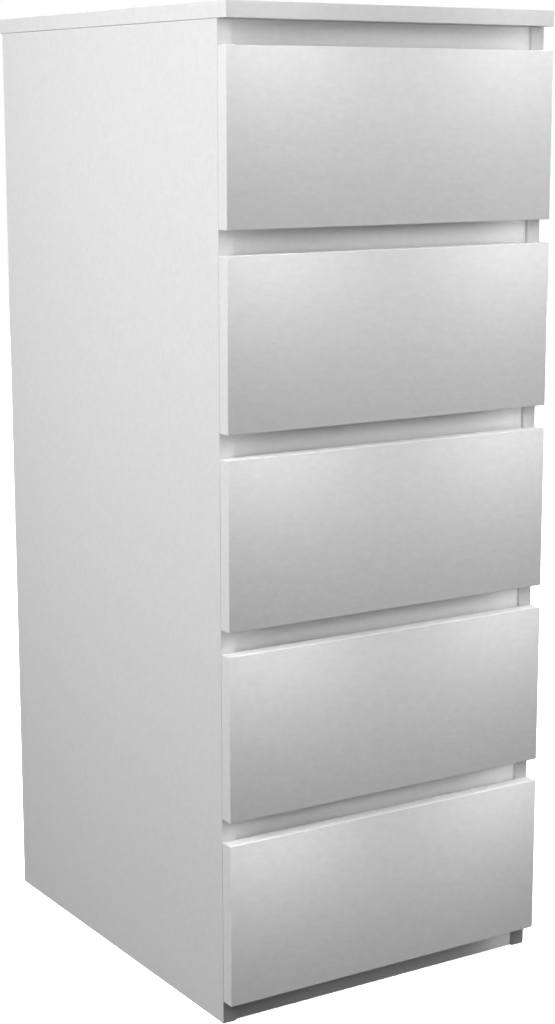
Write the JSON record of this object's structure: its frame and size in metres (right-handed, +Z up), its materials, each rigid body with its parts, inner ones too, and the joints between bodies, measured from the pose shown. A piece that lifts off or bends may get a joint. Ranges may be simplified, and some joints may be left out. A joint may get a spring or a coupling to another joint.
{
  "type": "chest of drawers",
  "caption": "Tall narrow white chest of drawers with flush handleless fronts, finger gaps between them and roller slides.",
  "frame": {"origin": "on the floor, under the middle of the chest's outline", "axes": "+Z up; the drawer fronts face -Y; +X is to the right of a person facing them"},
  "size_m": [0.4, 0.51, 1.041],
  "materials": {
    "white_board": "satin white melamine with banded edges",
    "white_fibreboard": "white lacquered thin hardboard",
    "coated_steel": "white epoxy powder coat",
    "nylon": "moulded nylon",
    "zinc_steel": "zinc plated"
  },
  "bodies": {
    "carcass": {"left_side": "white_board", "right_side": "white_board", "top_panel": "white_board", "bottom_panel": "white_board", "plinth_board": "white_board", "back_panel": "white_fibreboard", "top_rail": "white_board", "cross_rail_1": "white_board", "cross_rail_2": "white_board", "cross_rail_3": "white_board", "cross_rail_4": "white_board", "carcass_slide_1_left": "coated_steel", "carcass_slide_1_right": "coated_steel", "carcass_slide_2_left": "coated_steel", "carcass_slide_2_right": "coated_steel", "carcass_slide_3_left": "coated_steel", "carcass_slide_3_right": "coated_steel", "carcass_slide_4_left": "coated_steel", "carcass_slide_4_right": "coated_steel", "carcass_slide_5_left": "coated_steel", "carcass_slide_5_right": "coated_steel"},
    "drawer_1": {"drawer_1_front": "white_board", "drawer_1_side_left": "white_board", "drawer_1_side_right": "white_board", "drawer_1_back": "white_board", "drawer_1_bottom": "white_fibreboard", "drawer_1_slide_left": "coated_steel", "drawer_1_slide_right": "coated_steel"},
    "drawer_2": {"drawer_2_front": "white_board", "drawer_2_side_left": "white_board", "drawer_2_side_right": "white_board", "drawer_2_back": "white_board", "drawer_2_bottom": "white_fibreboard", "drawer_2_slide_left": "coated_steel", "drawer_2_slide_right": "coated_steel"},
    "drawer_3": {"drawer_3_front": "white_board", "drawer_3_side_left": "white_board", "drawer_3_side_right": "white_board", "drawer_3_back": "white_board", "drawer_3_bottom": "white_fibreboard", "drawer_3_slide_left": "coated_steel", "drawer_3_slide_right": "coated_steel"},
    "drawer_4": {"drawer_4_front": "white_board", "drawer_4_side_left": "white_board", "drawer_4_side_right": "white_board", "drawer_4_back": "white_board", "drawer_4_bottom": "white_fibreboard", "drawer_4_slide_left": "coated_steel", "drawer_4_slide_right": "coated_steel"},
    "drawer_5": {"drawer_5_front": "white_board", "drawer_5_side_left": "white_board", "drawer_5_side_right": "white_board", "drawer_5_back": "white_board", "drawer_5_bottom": "white_fibreboard", "drawer_5_slide_left": "coated_steel", "drawer_5_slide_right": "coated_steel"}
  },
  "joints": [
    {"name": "drawer_1_slide", "type": "slide", "parent": "carcass", "child": "drawer_1", "axis": [0, -1, 0], "range_m": [0, 0.34]},
    {"name": "drawer_2_slide", "type": "slide", "parent": "carcass", "child": "drawer_2", "axis": [0, -1, 0], "range_m": [0, 0.34]},
    {"name": "drawer_3_slide", "type": "slide", "parent": "carcass", "child": "drawer_3", "axis": [0, -1, 0], "range_m": [0, 0.34]},
    {"name": "drawer_4_slide", "type": "slide", "parent": "carcass", "child": "drawer_4", "axis": [0, -1, 0], "range_m": [0, 0.34]},
    {"name": "drawer_5_slide", "type": "slide", "parent": "carcass", "child": "drawer_5", "axis": [0, -1, 0], "range_m": [0, 0.34]}
  ]
}
